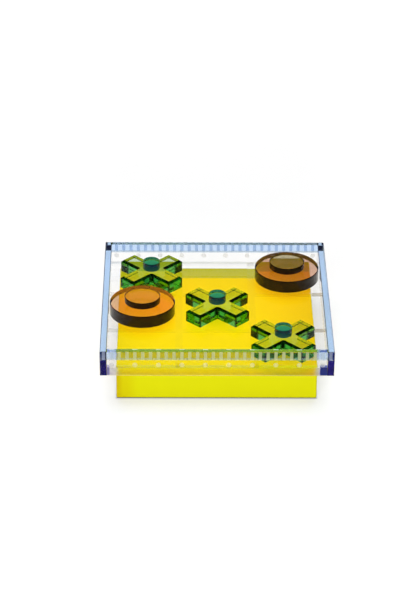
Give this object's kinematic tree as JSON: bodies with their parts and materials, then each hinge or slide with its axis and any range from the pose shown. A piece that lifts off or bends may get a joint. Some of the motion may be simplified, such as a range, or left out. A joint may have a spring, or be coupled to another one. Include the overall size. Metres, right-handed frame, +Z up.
{
  "type": "tic tac toe set",
  "caption": "Clear acrylic tic tac toe tray with a blue rim on a yellow plinth, its floor grooved into square cells, with green crosses and amber noughts that lift out by their knobs.",
  "frame": {"origin": "centre of the plinth's underside, on the table top", "axes": "+X to the player's right, +Y away from the player, +Z up"},
  "size_m": [0.22, 0.22, 0.0617],
  "materials": {
    "yellow_acrylic": "polished opaque yellow acrylic block",
    "clear_acrylic": "polished clear acrylic sheet, frosted in the grooves and dots",
    "blue_acrylic": "polished pale blue see-through acrylic, frosted in the bars",
    "green_acrylic": "polished green see-through acrylic",
    "teal_acrylic": "polished teal blue see-through acrylic",
    "amber_acrylic": "polished amber see-through acrylic"
  },
  "bodies": {
    "tray": {"plinth": "yellow_acrylic", "board_floor": "clear_acrylic", "wall_front": "clear_acrylic", "wall_back": "clear_acrylic", "wall_left": "clear_acrylic", "wall_right": "clear_acrylic", "rim_front": "blue_acrylic", "rim_back": "blue_acrylic", "rim_left": "blue_acrylic", "rim_right": "blue_acrylic"},
    "back_left_cross": {"cross_back_left": "green_acrylic", "cross_back_left_knob": "teal_acrylic"},
    "centre_cross": {"cross_centre": "green_acrylic", "cross_centre_knob": "teal_acrylic"},
    "front_right_cross": {"cross_front_right": "green_acrylic", "cross_front_right_knob": "teal_acrylic"},
    "middle_left_nought": {"nought_middle_left": "amber_acrylic", "nought_middle_left_knob": "amber_acrylic"},
    "back_right_nought": {"nought_back_right": "amber_acrylic", "nought_back_right_knob": "amber_acrylic"}
  },
  "joints": [
    {"name": "back_left_cross_lift", "type": "slide", "parent": "tray", "child": "back_left_cross", "axis": [0, 0, 1], "range_m": [0, 0.05]},
    {"name": "centre_cross_lift", "type": "slide", "parent": "tray", "child": "centre_cross", "axis": [0, 0, 1], "range_m": [0, 0.05]},
    {"name": "front_right_cross_lift", "type": "slide", "parent": "tray", "child": "front_right_cross", "axis": [0, 0, 1], "range_m": [0, 0.05]},
    {"name": "middle_left_nought_lift", "type": "slide", "parent": "tray", "child": "middle_left_nought", "axis": [0, 0, 1], "range_m": [0, 0.05]},
    {"name": "back_right_nought_lift", "type": "slide", "parent": "tray", "child": "back_right_nought", "axis": [0, 0, 1], "range_m": [0, 0.05]}
  ]
}
